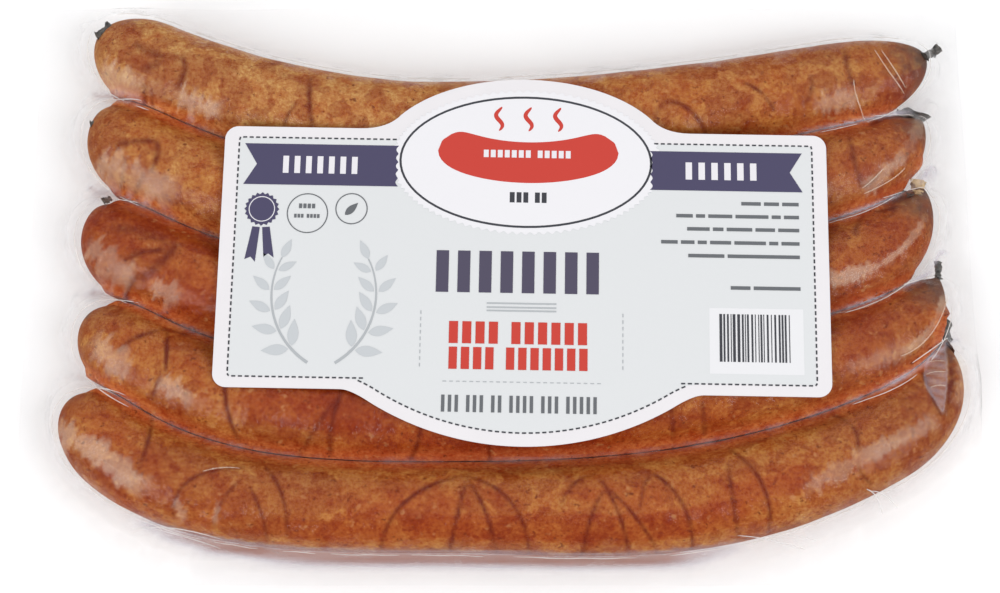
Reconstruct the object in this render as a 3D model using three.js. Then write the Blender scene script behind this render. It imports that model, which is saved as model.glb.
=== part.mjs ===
// Vacuum pack of smoked sausage links: five bowed links lie side by side in clear film that is drawn
// tight over them, dips between them and runs out to a flat margin. A die-cut card label lies on the crests.
// Millimetres, +Z up. The origin is under the middle of the pack, on the surface that it lies on.
import * as THREE from "three";

// The bag's film
const bag = {
  width: 328,
  depth: 205,
  film: 0.8, // both sheets, sealed together
  marginHeight: 7.5, // of the margin where it leaves the links
  droop: 3, // of the margin's edge
  droopReach: 26, // how far in from the edge the droop starts
  rippleHeight: 0.7,
  rippleLength: 62,
  apronSlope: 2, // fall of the film between a link's flank and the margin
  foldSoftness: 5, // how softly two stretches of film run into each other
};

// What all the links share
const link = {
  crest: 29.4,
  axisHeight: 14.2,
  press: 0.7, // how much the weight flattens the underside
  leftCap: 0.75, // length of the round end, in link widths
  rightCap: 1.25,
  capRoundness: 2.2,
  capFullness: 1.9,
  tailLength: 6, // the tied end of the casing
  tailRadius: 1.8,
};

// Each link hangs from its lowest point, where it runs straight along X. From there an arm runs to each end and
// turns upwards by bend degrees, the later the higher its curl. Lift says how far the tip sits off the middle
// of the end, towards the upper side. Swell is how much thicker an arm gets, on its lower side, at the share
// swellAt of its length.
const lowestX = -20;
const links = [
  {
    y: 54.5,
    width: 33.4,
    left: { length: 127.5, bend: 28, curl: 0.9, lift: 0.1 },
    right: { length: 172.5, bend: 13, curl: 0.8, lift: 0.25 },
  },
  {
    y: 19.4,
    width: 33.4,
    left: { length: 130, bend: 34.5, curl: 1.1, lift: 0.25 },
    right: { length: 173.5, bend: 18.5, curl: 1, lift: 0.6 },
  },
  {
    y: -13.6,
    width: 32.5,
    left: { length: 130, bend: 37, curl: 1.4, lift: 0.3 },
    right: { length: 178, bend: 27.5, curl: 1.5, lift: 0.85 },
  },
  {
    y: -47,
    width: 31.9,
    left: { length: 128.5, bend: 42, curl: 1.7, lift: 0.1 },
    right: { length: 180.5, bend: 25, curl: 1.2, lift: 0.9 },
  },
  {
    y: -77.9,
    width: 30.5,
    left: { length: 134.5, bend: 56, curl: 2.3, lift: 0, swell: 1.4, swellAt: 0.72 },
    right: { length: 189.5, bend: 40.5, curl: 1.85, lift: 0.95, swell: 3.6, swellAt: 0.49 },
  },
];

// The label: a card rectangle with an oval rising from its top edge and an arc hanging from its lower edge
const label = {
  width: 203,
  depth: 89.4,
  thickness: 0.5,
  gap: 0.3, // over the film
  centre: [7.9, 3.3],
  turn: -1, // degrees about Z
  cornerRadius: 4.5,
  ovalCentreY: 34.4,
  ovalHalfWidth: 50,
  ovalHalfDepth: 28.6,
  ovalBlend: 9, // length of the hollow curve between the oval and the top edge
  arcHalfWidth: 56,
  arcDrop: 17.9,
  arcBlend: 7,
};

// How finely the film is divided
const armSteps = 44;
const crossSteps = [-1, -0.82, -0.58, -0.3, 0, 0.3, 0.58, 0.82]; // over a link, from its lower valley
const marginSteps = [0.3, 0.62, 1];
const narrowestMargin = 5;
const stations = [
  { to: -152, steps: 2 },
  { to: -116, steps: 10 },
  { to: 120, steps: 24 },
  { to: 158, steps: 12 },
  { to: bag.width / 2, steps: 2 },
];

const radians = THREE.MathUtils.degToRad;
const clamp = THREE.MathUtils.clamp;

// The axis of one arm of a link, from the lowest point to the tip, with the link's width along it. side is -1
// for a left arm and 1 for a right.
function armAxis(y, width, arm, side) {
  const { swell = 0, swellAt = 0.5 } = arm;
  const step = arm.length / armSteps;
  const headingAt = (i) => radians(arm.bend) * (i / armSteps) ** arm.curl;
  const swellPower = Math.log(0.5) / Math.log(swellAt);
  const plain = [{ x: lowestX, y, heading: 0 }];
  for (let i = 1; i <= armSteps; i++) {
    const last = plain.at(-1);
    const along = headingAt(i - 0.5);
    plain.push({
      x: last.x + side * step * Math.cos(along),
      y: last.y + step * Math.sin(along),
      heading: headingAt(i),
    });
  }
  return plain.map(({ x, y, heading }, i) => {
    const extra = swell * Math.sin(Math.PI * (i / armSteps) ** swellPower) ** 2;
    return {
      x: x + (side * Math.sin(heading) * extra) / 2,
      y: y - (Math.cos(heading) * extra) / 2,
      heading,
      width: width + extra,
    };
  });
}

// The balls { x, y, r } that one arm is the hull of, with the tied tail after the tip. upright is a ball's
// height for its width, so that all the crests lie level.
function armBalls(axis, arm, capWidths, side) {
  const balls = axis.map((point, i) => {
    const { width } = point;
    const toTip = clamp((arm.length * (1 - i / armSteps)) / (capWidths * width), 0, 1);
    const r = (width / 2) * (1 - (1 - toTip) ** link.capRoundness) ** (1 / link.capFullness);
    const rise = arm.lift * (width / 2 - r);
    return {
      x: point.x - side * Math.sin(point.heading) * rise,
      y: point.y + Math.cos(point.heading) * rise,
      r: Math.max(r, link.tailRadius),
      upright: (2 * (link.crest - link.axisHeight)) / width,
    };
  });
  const tip = balls.at(-1);
  const before = balls.at(-3);
  const way = new THREE.Vector2(tip.x - before.x, tip.y - before.y).normalize();
  for (const reach of [link.tailLength / 2, link.tailLength]) {
    balls.push({ ...tip, x: tip.x + way.x * reach, y: tip.y + way.y * reach, r: link.tailRadius });
  }
  return balls;
}

// A link's axis and balls, both from its left end to its right one
function linkBody({ y, width, left, right }) {
  const leftAxis = armAxis(y, width, left, -1);
  const rightAxis = armAxis(y, width, right, 1);
  const leftBalls = armBalls(leftAxis, left, link.leftCap, -1);
  const rightBalls = armBalls(rightAxis, right, link.rightCap, 1);
  return {
    axis: [...leftAxis.reverse(), ...rightAxis.slice(1)],
    balls: [...leftBalls.reverse(), ...rightBalls.slice(1)],
  };
}

const bodies = links.map(linkBody);

// Height of the film over the axis at a distance from a ball's centre: the ball's own round, and past the point
// where that gets steeper than the apron, a straight fall
function filmOverBall(distance, r, upright) {
  const turn = bag.apronSlope / Math.hypot(bag.apronSlope, upright);
  const q = distance / r;
  if (q < turn) return r * upright * Math.sqrt(1 - q * q);
  return r * upright * Math.sqrt(1 - turn * turn) - bag.apronSlope * (distance - turn * r);
}

function filmOverLink({ balls }, x, y) {
  return Math.max(...balls.map((b) => filmOverBall(Math.hypot(x - b.x, y - b.y), b.r, b.upright)));
}

// The larger of two heights, with the step between them rounded off
function softMax(a, b) {
  const near = Math.max(bag.foldSoftness - Math.abs(a - b), 0) / bag.foldSoftness;
  return Math.max(a, b) + (near * near * bag.foldSoftness) / 4;
}

// Middle of the film margin, which droops and ripples towards the bag's edge
function marginHeight(x, y) {
  const inside = Math.min(bag.width / 2 - Math.abs(x), bag.depth / 2 - Math.abs(y));
  const out = clamp(1 - inside / bag.droopReach, 0, 1);
  const ripple = Math.sin((2 * Math.PI * (x + 0.8 * y)) / bag.rippleLength);
  return bag.marginHeight - bag.droop * out * out + bag.rippleHeight * out * ripple;
}

// Heights of the upper and lower sheet over a point
function sheets(x, y) {
  const overs = bodies.map((body) => filmOverLink(body, x, y));
  const margin = marginHeight(x, y);
  const sunk = link.axisHeight - link.press;
  const upper = overs.reduce((z, over) => softMax(z, link.axisHeight + over), margin + bag.film / 2);
  const lower = overs.reduce((z, over) => -softMax(-z, over - sunk), margin - bag.film / 2);
  return { upper, lower: Math.max(lower, 0) };
}

// Where a link's axis runs at x and how wide the link is there, held level past its ends
function axisAt({ axis }, x) {
  const next = axis.findIndex((point) => point.x >= x);
  if (next === 0) return axis[0];
  if (next < 0) return axis.at(-1);
  const from = axis[next - 1];
  const to = axis[next];
  const share = (x - from.x) / (to.x - from.x);
  return {
    y: THREE.MathUtils.lerp(from.y, to.y, share),
    width: THREE.MathUtils.lerp(from.width, to.width, share),
  };
}

// The y values of one station across the pack, from the lower edge to the upper one. Every link has the same
// number of them, between its two valleys.
function rowsAcross(x) {
  const spots = [...bodies].reverse().map((body) => axisAt(body, x));
  const axes = spots.map((spot) => spot.y);
  const edge = bag.depth / 2;
  const foot = Math.max(axes[0] - spots[0].width / 2, narrowestMargin - edge);
  const head = Math.min(axes.at(-1) + spots.at(-1).width / 2, edge - narrowestMargin);
  const valleys = [foot, ...axes.slice(1).map((y, i) => (y + axes[i]) / 2), head];
  const rows = marginSteps.map((t) => THREE.MathUtils.lerp(foot, -edge, t)).reverse();
  axes.forEach((y, i) => {
    for (const t of crossSteps) rows.push(THREE.MathUtils.lerp(y, valleys[t < 0 ? i : i + 1], Math.abs(t)));
  });
  return [...rows, head, ...marginSteps.map((t) => THREE.MathUtils.lerp(head, edge, t))];
}

function stationXs() {
  const xs = [-bag.width / 2];
  for (const { to, steps } of stations) {
    const from = xs.at(-1);
    for (let i = 1; i <= steps; i++) xs.push(THREE.MathUtils.lerp(from, to, i / steps));
  }
  return xs;
}

// The sealed pack: an upper and a lower sheet on one grid of stations and rows, closed round the edge
function packGeometry() {
  const grid = stationXs().map((x) => rowsAcross(x).map((y) => ({ x, y, ...sheets(x, y) })));
  const columns = grid.length;
  const rows = grid[0].length;
  const upper = grid.flat().map((point) => [point.x, point.y, point.upper]);
  const lower = grid.flat().map((point) => [point.x, point.y, point.lower]);
  const position = [...upper, ...lower].flat();
  const top = (i, j) => i * rows + j;
  const bottom = (i, j) => columns * rows + top(i, j);
  const index = [];
  const quad = (a, b, c, d) => index.push(a, b, c, a, c, d);
  for (let i = 0; i + 1 < columns; i++) {
    for (let j = 0; j + 1 < rows; j++) {
      quad(top(i, j), top(i + 1, j), top(i + 1, j + 1), top(i, j + 1));
      quad(bottom(i, j), bottom(i, j + 1), bottom(i + 1, j + 1), bottom(i + 1, j));
    }
    quad(bottom(i, 0), bottom(i + 1, 0), top(i + 1, 0), top(i, 0));
    quad(bottom(i + 1, rows - 1), bottom(i, rows - 1), top(i, rows - 1), top(i + 1, rows - 1));
  }
  for (let j = 0; j + 1 < rows; j++) {
    quad(bottom(0, j + 1), bottom(0, j), top(0, j), top(0, j + 1));
    quad(bottom(columns - 1, j), bottom(columns - 1, j + 1), top(columns - 1, j + 1), top(columns - 1, j));
  }
  const geometry = new THREE.BufferGeometry();
  geometry.setAttribute("position", new THREE.Float32BufferAttribute(position, 3));
  geometry.setIndex(index);
  geometry.computeVertexNormals();
  return geometry;
}

// The label's outline, counter-clockwise from the left end of its lower edge
function labelShape() {
  const { ovalCentreY, ovalHalfWidth, ovalHalfDepth, ovalBlend, arcHalfWidth, arcDrop, arcBlend } = label;
  const x = label.width / 2;
  const y = label.depth / 2;
  const r = label.cornerRadius;
  const shape = new THREE.Shape();

  // Lower edge, with the arc between two hollow blends
  const arcRadius = (arcHalfWidth ** 2 + arcDrop ** 2) / (2 * arcDrop);
  const arcCentreY = -y - arcDrop + arcRadius;
  const arcStart = Math.asin((arcHalfWidth - arcBlend) / arcRadius);
  const arcX = arcRadius * Math.sin(arcStart);
  const arcY = arcCentreY - arcRadius * Math.cos(arcStart);
  shape.moveTo(-x + r, -y);
  shape.lineTo(-arcHalfWidth - arcBlend / 2, -y);
  shape.quadraticCurveTo(-arcHalfWidth, -y, -arcX, arcY);
  shape.absarc(0, arcCentreY, arcRadius, -Math.PI / 2 - arcStart, -Math.PI / 2 + arcStart, false);
  shape.quadraticCurveTo(arcHalfWidth, -y, arcHalfWidth + arcBlend / 2, -y);
  shape.lineTo(x - r, -y);

  // Right edge
  shape.absarc(x - r, -y + r, r, -Math.PI / 2, 0, false);
  shape.absarc(x - r, y - r, r, 0, Math.PI / 2, false);

  // Upper edge, with the oval between two hollow blends
  const ovalFoot = ovalHalfWidth * Math.sqrt(1 - ((y - ovalCentreY) / ovalHalfDepth) ** 2);
  const ovalStart = Math.acos((ovalFoot - ovalBlend / 2) / ovalHalfWidth);
  const ovalX = ovalHalfWidth * Math.cos(ovalStart);
  const ovalY = ovalCentreY + ovalHalfDepth * Math.sin(ovalStart);
  shape.lineTo(ovalFoot + ovalBlend, y);
  shape.quadraticCurveTo(ovalFoot, y, ovalX, ovalY);
  shape.absellipse(0, ovalCentreY, ovalHalfWidth, ovalHalfDepth, ovalStart, Math.PI - ovalStart, false);
  shape.quadraticCurveTo(-ovalFoot, y, -ovalFoot - ovalBlend, y);
  shape.lineTo(-x + r, y);

  // Left edge
  shape.absarc(-x + r, y - r, r, Math.PI / 2, Math.PI, false);
  shape.absarc(-x + r, -y + r, r, Math.PI, 1.5 * Math.PI, false);
  return shape;
}

function namedMesh(name, geometry, material) {
  const mesh = new THREE.Mesh(geometry, new THREE.MeshStandardMaterial(material));
  mesh.name = name;
  return mesh;
}

const pack = namedMesh("pack", packGeometry(), { color: 0xa0603a, roughness: 0.3, metalness: 0 });

const card = namedMesh(
  "label",
  new THREE.ExtrudeGeometry(labelShape(), { depth: label.thickness, bevelEnabled: false, curveSegments: 14 }),
  { color: 0xe8e8ea, roughness: 0.45, metalness: 0 },
);
card.position.set(...label.centre, link.crest + label.gap);
card.rotation.z = radians(label.turn);

const sausagePack = new THREE.Group();
sausagePack.add(pack, card);

export default sausagePack;
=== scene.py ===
"""Vacuum pack of smoked sausage links: clear film drawn tight over five bowed links with tied ends, and a
die-cut card label with greeked print on the crests. Sizes are in millimetres and become metres by MM."""

import math
import random
from collections import namedtuple
from functools import partial

import bpy
import numpy as np
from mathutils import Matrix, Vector, noise


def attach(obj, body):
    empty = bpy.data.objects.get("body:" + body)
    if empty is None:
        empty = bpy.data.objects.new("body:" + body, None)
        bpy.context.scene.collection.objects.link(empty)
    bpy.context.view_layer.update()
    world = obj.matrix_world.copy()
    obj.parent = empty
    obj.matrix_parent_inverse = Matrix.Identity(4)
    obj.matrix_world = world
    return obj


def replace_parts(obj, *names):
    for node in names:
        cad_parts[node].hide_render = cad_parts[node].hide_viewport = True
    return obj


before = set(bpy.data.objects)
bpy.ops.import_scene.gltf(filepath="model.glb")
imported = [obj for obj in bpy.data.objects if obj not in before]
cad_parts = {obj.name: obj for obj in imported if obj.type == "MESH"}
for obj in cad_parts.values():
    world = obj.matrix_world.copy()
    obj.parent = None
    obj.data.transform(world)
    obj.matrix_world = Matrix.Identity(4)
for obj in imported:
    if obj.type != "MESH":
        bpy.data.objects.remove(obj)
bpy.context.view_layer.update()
random.seed(7)

MM = 0.001

# The links, as the solids have them
Arm = namedtuple("Arm", "length bend curl lift swell swell_at", defaults=(0, 0.5))
Link = namedtuple("Link", "y width left right")
LINKS = [
    Link(54.5, 33.4, Arm(127.5, 28, 0.9, 0.1), Arm(172.5, 13, 0.8, 0.25)),
    Link(19.4, 33.4, Arm(130, 34.5, 1.1, 0.25), Arm(173.5, 18.5, 1, 0.6)),
    Link(-13.6, 32.5, Arm(130, 37, 1.4, 0.3), Arm(178, 27.5, 1.5, 0.85)),
    Link(-47, 31.9, Arm(128.5, 42, 1.7, 0.1), Arm(180.5, 25, 1.2, 0.9)),
    Link(-77.9, 30.5, Arm(134.5, 56, 2.3, 0, 1.4, 0.72), Arm(189.5, 40.5, 1.85, 0.95, 3.6, 0.49)),
]
LOWEST_X = -20
CREST = 29.4
AXIS_HEIGHT = 14.2
RISE = CREST - AXIS_HEIGHT
PRESS = 0.7
LEFT_CAP, RIGHT_CAP = 0.75, 1.25
CAP_ROUNDNESS, CAP_FULLNESS = 2.2, 1.9
TAIL_LENGTH, TAIL_RADIUS = 6, 1.8

# The bag's film, as the solids have it
BAG_WIDTH, BAG_DEPTH = 328, 205
MARGIN_HEIGHT = 7.5
DROOP, DROOP_REACH = 3, 26
RIPPLE_HEIGHT, RIPPLE_LENGTH = 0.7, 62
APRON_SLOPE = 2
FOLD_SOFTNESS = 5
SEAL = 0.1  # the two films, sealed together

# Film stretched across the last link's tip
WEB = [(149.6, -22), (143.7, -26.9), (140.4, -34.4), (140.1, -39.2), (145.1, -47.8), (147.1, -39.1)]

# How the casing sits under the film
CASING_GAP = 0.35
LINK_GAP = -0.3  # from a casing to the film hull of the neighbour that it presses against
RINGS, SIDES = 520, 120

# The label, as the solids have it
LABEL_WIDTH, LABEL_DEPTH = 203, 89.4
LABEL_CENTRE = (7.9, 3.3)
LABEL_TURN = math.radians(-1)
LABEL_TOP = 30.2
LABEL_CORNER = 4.5
OVAL_Y, OVAL_HALF_WIDTH, OVAL_HALF_DEPTH, OVAL_BLEND = 34.4, 50, 28.6, 9
ARC_HALF_WIDTH, ARC_DROP, ARC_BLEND = 56, 17.9, 7
LABEL_THICKNESS = 0.5
INK, INK_STEP = 0.03, 0.04  # thickness of a print layer, and the step up to the next
FRAME_DASH, RULE_DASH = (1.35, 0.85, 0.5), (1.2, 1, 0.3)  # length, gap and width


def linear(hex_colour):
    """sRGB hex to the linear RGBA that shaders take."""
    parts = [int(hex_colour[i:i + 2], 16) / 255 for i in (1, 3, 5)]
    return [c / 12.92 if c <= 0.04045 else ((c + 0.055) / 1.055) ** 2.4 for c in parts] + [1]


def node(tree, kind, links=None, **settings):
    """Adds a shader node. links maps an input's name or number to a value, or to what feeds it: an output, or
    a node, which feeds it from its first output."""
    made = tree.nodes.new("ShaderNode" + kind)
    for name, value in settings.items():
        setattr(made, name, value)
    for key, source in (links or {}).items():
        if isinstance(source, bpy.types.Node):
            source = source.outputs[0]
        if isinstance(source, bpy.types.NodeSocket):
            tree.links.new(source, made.inputs[key])
        else:
            made.inputs[key].default_value = source
    return made


def ramp(made, stops):
    """Gives a colour ramp its stops, each a place and a grey value or hex colour."""
    elements = made.color_ramp.elements
    while len(elements) < len(stops):
        elements.new(0.5)
    for element, (place, value) in zip(elements, stops):
        element.position = place
        element.color = linear(value) if isinstance(value, str) else (value, value, value, 1)
    return made


def material(name):
    """A new material, and the function that adds its nodes."""
    made = bpy.data.materials.new(name)
    made.use_nodes = True
    made.node_tree.nodes.clear()
    return made, partial(node, made.node_tree)


# Lines and distances

def clamp(values):
    return np.clip(values, 0, 1)


def bend(a, corner, b, steps=8):
    """A curve from a to b that leaves and lands along the lines to the corner."""
    t = np.linspace(0, 1, steps + 1)[:, None]
    points = (1 - t) ** 2 * np.array(a) + 2 * t * (1 - t) * np.array(corner) + t * t * np.array(b)
    return [tuple(p) for p in points]


def bent_line(path, steps=16):
    """A smooth line through three points."""
    a, middle, b = np.array(path, float)
    return np.array(bend(a, 2 * middle - (a + b) / 2, b, steps))


def near_line(points, line, reach):
    """For points within reach of a line: their numbers, their distance and how far along it they lie."""
    low = line.min(0) - reach
    high = line.max(0) + reach
    close = np.flatnonzero(((points > low) & (points < high)).all(1))
    spots = points[close]
    distance = np.full(len(close), 1e3)
    share = np.zeros(len(close))
    for k, (a, b) in enumerate(zip(line[:-1], line[1:])):
        way = b - a
        t = clamp((spots - a) @ way / (way @ way))
        away = np.linalg.norm(spots - a - t[:, None] * way, axis=1)
        share = np.where(away < distance, (k + t) / (len(line) - 1), share)
        distance = np.minimum(distance, away)
    return close, distance, share


def noise_at(x, y, size_x, size_y, seed):
    """Smooth noise from -1 to 1 with bumps of the given size."""
    points = zip((x / size_x).ravel(), (y / size_y).ravel())
    return np.array([noise.noise(Vector((a, b, seed))) for a, b in points]).reshape(x.shape)


def torn_noise(x, y, seed):
    """Noise for ragged edges, in bumps of 2 to 5 mm."""
    return noise_at(x, y, 5, 4, seed) + 0.7 * noise_at(x, y, 2, 2, seed + 7.5)


# Shape of the links and the film

def arm_spine(link, arm, cap, side, t):
    """An arm at shares t of its length: centre, half width there and in full, and the direction sideways."""
    fine = np.linspace(0, 1, 400)
    heading = math.radians(arm.bend) * fine ** arm.curl
    step = np.diff(fine) * arm.length
    middle = (heading[1:] + heading[:-1]) / 2
    along_x = np.concatenate([[0], np.cumsum(step * np.cos(middle))])
    along_y = np.concatenate([[0], np.cumsum(step * np.sin(middle))])
    turn = np.interp(t, fine, heading)
    swell = arm.swell * np.sin(math.pi * t ** (math.log(0.5) / math.log(arm.swell_at))) ** 2
    full = (link.width + swell) / 2
    to_tip = clamp(arm.length * (1 - t) / (2 * cap * full))
    r = full * (1 - (1 - to_tip) ** CAP_ROUNDNESS) ** (1 / CAP_FULLNESS)
    sideways = np.stack([-side * np.sin(turn), np.cos(turn)], 1)
    axis = np.stack([LOWEST_X + side * np.interp(t, fine, along_x), link.y + np.interp(t, fine, along_y)], 1)
    centre = axis + sideways * (arm.lift * (full - r) - swell / 2)[:, None]
    return centre, r, full, sideways


def link_spine(link, t):
    """A whole link from its left tip to its right one."""
    left = arm_spine(link, link.left, LEFT_CAP, -1, t)
    right = arm_spine(link, link.right, RIGHT_CAP, 1, t)
    return [np.concatenate([a[::-1], b[1:]]) for a, b in zip(left, right)]


def link_balls(link):
    """The balls whose hull the film follows, with the tied tails, and their height for their width."""
    centre, r, full, _ = link_spine(link, np.linspace(0, 1, 45))
    balls = [(x, y, max(radius, TAIL_RADIUS), RISE / half) for (x, y), radius, half in zip(centre, r, full)]
    for tip, before, half in ((centre[0], centre[2], full[0]), (centre[-1], centre[-3], full[-1])):
        way = (tip - before) / np.linalg.norm(tip - before)
        for reach in (TAIL_LENGTH / 2, TAIL_LENGTH):
            balls.append((*(tip + way * reach), TAIL_RADIUS, RISE / half))
    return balls


BALLS = [link_balls(link) for link in LINKS]
SPINES = [link_spine(link, np.linspace(0, 1, 45))[0].T for link in LINKS]


def soft_max(a, b):
    near = np.maximum(FOLD_SOFTNESS - np.abs(a - b), 0) / FOLD_SOFTNESS
    return np.maximum(a, b) + near * near * FOLD_SOFTNESS / 4


def film_over_link(balls, x, y):
    """Height of the film over a link's axis, and the distance out from the side of the link."""
    film = np.full(x.shape, -1e3)
    outside = np.full(x.shape, 1e3)
    for ball_x, ball_y, r, upright in balls:
        leave = APRON_SLOPE / math.hypot(APRON_SLOPE, upright)
        distance = np.hypot(x - ball_x, y - ball_y)
        q = distance / r
        round_part = r * upright * np.sqrt(clamp(1 - q * q))
        apron = r * upright * math.sqrt(1 - leave * leave) - APRON_SLOPE * (distance - leave * r)
        film = np.maximum(film, np.where(q < leave, round_part, apron))
        outside = np.minimum(outside, distance - r)
    return film, outside


def margin_height(x, y):
    inside = np.minimum(BAG_WIDTH / 2 - np.abs(x), BAG_DEPTH / 2 - np.abs(y))
    out = clamp(1 - inside / DROOP_REACH)
    ripple = np.sin(2 * math.pi * (x + 0.8 * y) / RIPPLE_LENGTH)
    return MARGIN_HEIGHT - DROOP * out * out + RIPPLE_HEIGHT * out * ripple


FilmShape = namedtuple("FilmShape", "upper lower flat outside valley")


def film_shape(x, y):
    """Heights of the upper and the lower film, how flat it lies in the margin, the distance out from the side
    of the nearest link, and how near it is to the bottom of a valley between two links."""
    margin = margin_height(x, y)
    upper = margin + SEAL / 2
    lower = margin - SEAL / 2
    outside = np.full(x.shape, 1e3)
    overs = []
    for balls in BALLS:
        film, casing_edge = film_over_link(balls, x, y)
        upper = soft_max(upper, AXIS_HEIGHT + film)
        lower = -soft_max(-lower, film - AXIS_HEIGHT + PRESS)
        outside = np.minimum(outside, casing_edge)
        overs.append(AXIS_HEIGHT + film)
    next_highest, highest = np.sort(overs, 0)[-2:]
    valley = np.exp(-((highest - next_highest) / 2.5) ** 2) * clamp((next_highest - margin - 1) / 2)

    flat = clamp(1 - (upper - margin) / 2)
    edge = np.minimum(BAG_WIDTH / 2 - np.abs(x), BAG_DEPTH / 2 - np.abs(y)) < 0.01
    loose = (flat > 0) & ~edge
    sideways = clamp((np.abs(x[loose]) - 120) / 20)
    upright_creases = noise_at(x[loose], y[loose], 9, 60, 3.1)
    level_creases = noise_at(x[loose], y[loose], 60, 9, 8.4)
    wrinkle = np.zeros(x.shape)
    wrinkle[loose] = 0.5 * flat[loose] * (upright_creases * (1 - sideways) + level_creases * sideways)
    return FilmShape(upper + wrinkle, np.maximum(lower + wrinkle, 0), flat, outside, valley)


def film_height(x, y):
    return film_shape(np.asarray(x, float), np.asarray(y, float)).upper


def inside_outline(x, y, outline):
    """One inside a convex outline that runs counter-clockwise, fading out over a millimetre at its edge."""
    share = np.ones(x.shape)
    for (ax, ay), (bx, by) in zip(outline, outline[1:] + outline[:1]):
        inward = ((bx - ax) * (y - ay) - (by - ay) * (x - ax)) / math.hypot(bx - ax, by - ay)
        share = share * clamp(inward + 0.5)
    return share


# Mesh helpers

def deselect():
    bpy.ops.object.select_all(action="DESELECT")


def grid_piece(name, columns, rows):
    """A flat grid that is then folded into place. Its UV map runs with its columns and rows."""
    deselect()
    bpy.ops.mesh.primitive_grid_add(x_subdivisions=columns, y_subdivisions=rows, size=1)
    piece = bpy.context.object
    piece.name = piece.data.name = name
    return piece


def set_points(piece, points):
    """Moves a piece's points to places in millimetres."""
    piece.data.vertices.foreach_set("co", (np.asarray(points, float).reshape(-1, 3) * MM).ravel())
    piece.data.update()


def set_values(piece, name, values):
    attribute = piece.data.attributes.new(name, "FLOAT", "POINT")
    attribute.data.foreach_set("value", np.asarray(values, np.float32).ravel())


def finish_piece(piece, finish, merge=0.0):
    """Closes a mesh, turns its faces outwards, smooths it and hangs it on the pack."""
    deselect()
    piece.select_set(True)
    bpy.context.view_layer.objects.active = piece
    bpy.ops.object.mode_set(mode="EDIT")
    bpy.ops.mesh.select_all(action="SELECT")
    if merge:
        bpy.ops.mesh.remove_doubles(threshold=merge * MM)
    bpy.ops.mesh.normals_make_consistent(inside=False)
    bpy.ops.object.mode_set(mode="OBJECT")
    bpy.ops.object.shade_smooth_by_angle(angle=math.radians(50))
    piece.data.materials.clear()
    piece.data.materials.append(finish)
    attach(piece, "root")
    return piece


def around(values):
    """Ring values in the order of a tube's points, with the first side repeated to close the tube."""
    return np.concatenate([values, values[:, :1]], 1).swapaxes(0, 1)


def tube_piece(name, rings):
    """A tube through rings of points, which all have the same number of points."""
    count, sides, _ = rings.shape
    piece = grid_piece(name, count - 1, sides)
    set_points(piece, around(rings))
    return piece


def join_pieces(name, pieces):
    deselect()
    for piece in pieces:
        piece.select_set(True)
    bpy.context.view_layer.objects.active = pieces[0]
    bpy.ops.object.join()
    pieces[0].name = pieces[0].data.name = name
    return pieces[0]


# Finishes

def smoked_casing():
    """Smoked collagen casing over coarse meat: orange-brown and cloudy, finely flecked with dark meat and
    pale fat, with dark red lines where it was folded, and grey-brown where it is gathered at the tied ends.
    Where two links touch it is painted paler orange, as painted light that lifts the shade between them,
    and its tone also carries painted shade."""
    made, add = material("smoked_casing")
    place = add("TexCoord").outputs["Object"]
    names = ("tone_and_shade", "fold", "gathered", "painted_valley_light")
    tone_and_shade, fold, gathered, painted_valley_light = [add("Attribute", attribute_name=name).outputs["Fac"] for name in names]

    def layer(below, where, size, detail, roughness, stops, colour=None):
        """Lays patches of a size in millimetres over the skin below, in a colour or as light and dark."""
        patches = {"Vector": where, "Scale": 1 / (size * MM), "Detail": detail, "Roughness": roughness}
        graded = ramp(add("ValToRGB", {"Fac": add("TexNoise", patches)}), stops)
        if colour:
            return add("MixRGB", {"Fac": graded, 1: below, 2: linear(colour)})
        return add("MixRGB", {"Fac": 1, 1: below, 2: graded}, blend_type="OVERLAY")

    # Smoke colour, in clouds of about 22 mm
    cloud = add("TexNoise", {"Vector": place, "Scale": 1 / (22.2 * MM), "Detail": 3, "Roughness": 0.6})
    toned = add("Math", {0: cloud, 1: 0.5, 2: tone_and_shade}, operation="MULTIPLY_ADD")
    skin = ramp(
        add("ValToRGB", {"Fac": toned}),
        [(0.1, "#842a0b"), (0.22, "#963d12"), (0.34, "#a3511f"), (0.46, "#ae672e"), (0.62, "#b87c43")],
    )

    # Stains with torn edges, where links touched in the smokehouse, and skin that the smoke didn't reach
    warp = add("TexNoise", {"Vector": place, "Scale": 1 / (6.67 * MM), "Detail": 2, "Roughness": 0.5})
    bent = add("MixRGB", {"Fac": 0.01, 1: place, 2: warp.outputs["Color"]}, blend_type="ADD")
    skin = layer(skin, bent, 22.2, 1, 0.5, [(0.54, 0), (0.56, 0.4)], "#842b09")
    skin = layer(skin, bent, 8.33, 1, 0.5, [(0.55, 0), (0.57, 0.38)], "#842b09")
    # Painted light: paler orange where a neighbour touches, lifting the shade between the links
    skin = add("MixRGB", {"Fac": painted_valley_light, 1: skin, 2: linear("#cc6a38")})

    # Coarse meat under the skin, the speckle of its grain, dark flecks of meat and pepper, and crumbs of fat.
    # Grain and flecks are drawn about twice as coarse as they are, so that they show.
    skin = layer(skin, place, 4.35, 2, 0.6, [(0.28, "#aa9082"), (0.72, "#c2d3dd")])
    skin = layer(skin, place, 1.25, 2, 0.8, [(0.3, "#a58b7c"), (0.7, "#c7d9e4")])
    skin = layer(skin, place, 2.083, 3, 0.7, [(0.61, 0), (0.69, 0.8)], "#64240c")
    skin = layer(skin, place, 3.333, 2, 0.5, [(0.64, 0), (0.76, 0.5)], "#c08a56")

    skin = add("MixRGB", {"Fac": fold, 1: skin, 2: linear("#611805")})
    skin = add("MixRGB", {"Fac": gathered, 1: skin, 2: linear("#54443d")})
    meat = add("TexNoise", {"Vector": place, "Scale": 1 / (4.35 * MM), "Detail": 2, "Roughness": 0.6})
    bump = add("Bump", {"Height": meat, "Strength": 0.5, "Distance": 0.0008})
    look = {"Base Color": skin, "Roughness": 0.55, "Normal": bump, "Specular IOR Level": 0.05}
    add("OutputMaterial", {"Surface": add("BsdfPrincipled", look)})
    return made


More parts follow.
